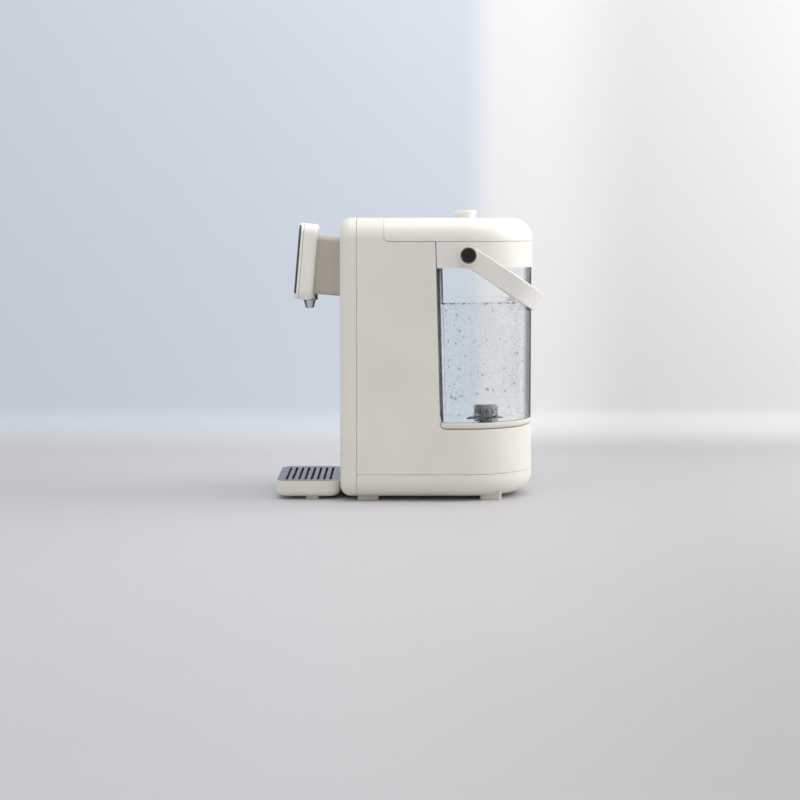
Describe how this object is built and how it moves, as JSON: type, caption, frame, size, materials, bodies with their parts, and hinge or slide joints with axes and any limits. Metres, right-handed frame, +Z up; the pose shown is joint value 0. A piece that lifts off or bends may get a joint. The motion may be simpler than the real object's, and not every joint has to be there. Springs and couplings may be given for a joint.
{
  "type": "baby formula water dispenser",
  "caption": "Counter-top instant hot water dispenser for baby bottles: tilted head on a neck, rear water tank with bail handle, lift-off lid and drip tray.",
  "frame": {"origin": "on the surface it stands on, under the middle of its box", "axes": "+Z up, -X towards the head and the drip tray, +X towards the water tank, Y across"},
  "size_m": [0.3183, 0.1766, 0.3388],
  "materials": {
    "white_plastic": "satin, warm white",
    "clear_plastic": "clear, polished",
    "smoke_plastic": "smoky, polished",
    "dark_glass": "dark, polished",
    "dark_plastic": "dark brown-black, satin",
    "grey_plastic": "moulded grey",
    "bright_metal": "polished",
    "steel": "brushed",
    "silicone": "translucent silicone",
    "circuit_board": "solder mask",
    "grey_nylon": "moulded"
  },
  "bodies": {
    "root": {"front_shell": "white_plastic", "main_shell": "white_plastic", "base_shell": "white_plastic", "neck_housing": "white_plastic", "head_shell": "white_plastic", "head_bezel": "white_plastic", "base_feet": "white_plastic", "display_glass": "dark_glass", "pump_housing": "dark_plastic", "power_inlet": "dark_plastic", "dock_socket": "dark_plastic", "heater_lower_cap": "grey_plastic", "heater_upper_cap": "grey_plastic", "pump_cradle": "grey_plastic", "board_posts": "grey_plastic", "dock_pin": "grey_plastic", "nozzle_collar": "bright_metal", "nozzle_tip": "bright_metal", "inlet_pins": "bright_metal", "casing_screws": "steel", "display_screws": "steel", "board_screws": "steel", "heater_tube": "steel", "heater_bracket": "steel", "chassis_frame": "steel", "pump_motor": "steel", "temperature_sensor": "steel", "casing_magnets": "steel", "dock_hose": "silicone", "feed_hose": "silicone", "delivery_hose": "silicone", "dock_seal": "silicone", "display_board": "circuit_board", "control_board": "circuit_board", "power_board": "circuit_board", "thermal_cutout": "grey_nylon"},
    "tank": {"tank_shell": "clear_plastic", "tank_collar": "white_plastic", "tank_base": "white_plastic", "tank_gasket": "silicone", "valve_body": "clear_plastic", "tank_strainer": "grey_plastic", "valve_spring": "steel", "handle_pins": "steel"},
    "handle": {"handle": "white_plastic", "handle_caps": "dark_plastic"},
    "lid": {"lid_shell": "white_plastic", "lid_inner": "grey_plastic", "lid_seal": "silicone", "lid_knob": "white_plastic", "knob_screw": "steel"},
    "valve": {"valve_poppet": "silicone"},
    "tray": {"drip_tray": "white_plastic", "tray_magnets": "steel", "tray_foot": "white_plastic"},
    "grid": {"drip_grid": "smoke_plastic"},
    "pump": {"pump_impeller": "grey_nylon"}
  },
  "joints": [
    {"name": "tank_lift", "type": "slide", "parent": "root", "child": "tank", "axis": [0, 0, 1], "range_m": [0, 0.25]},
    {"name": "lid_lift", "type": "slide", "parent": "tank", "child": "lid", "axis": [0, 0, 1], "range_m": [0, 0.03]},
    {"name": "handle_swing", "type": "hinge", "parent": "tank", "child": "handle", "pos_m": [0.06506, 0, 0.2868], "axis": [0, -1, 0], "range_deg": [0, 123.5]},
    {"name": "valve_open", "type": "slide", "parent": "tank", "child": "valve", "axis": [0, 0, 1], "range_m": [0, 0.003], "stiffness_N_per_m": 250, "springref_m": -0.003, "deforming": ["valve_spring"]},
    {"name": "tray_slide", "type": "slide", "parent": "root", "child": "tray", "axis": [-1, 0, 0], "range_m": [0, 0.07]},
    {"name": "grid_lift", "type": "slide", "parent": "tray", "child": "grid", "axis": [0, 0, 1], "range_m": [0, 0.03]},
    {"name": "pump_spin", "type": "hinge", "parent": "root", "child": "pump", "pos_m": [0.04656, 0, 0.04], "axis": [1, 0, 0], "continuous": true}
  ]
}
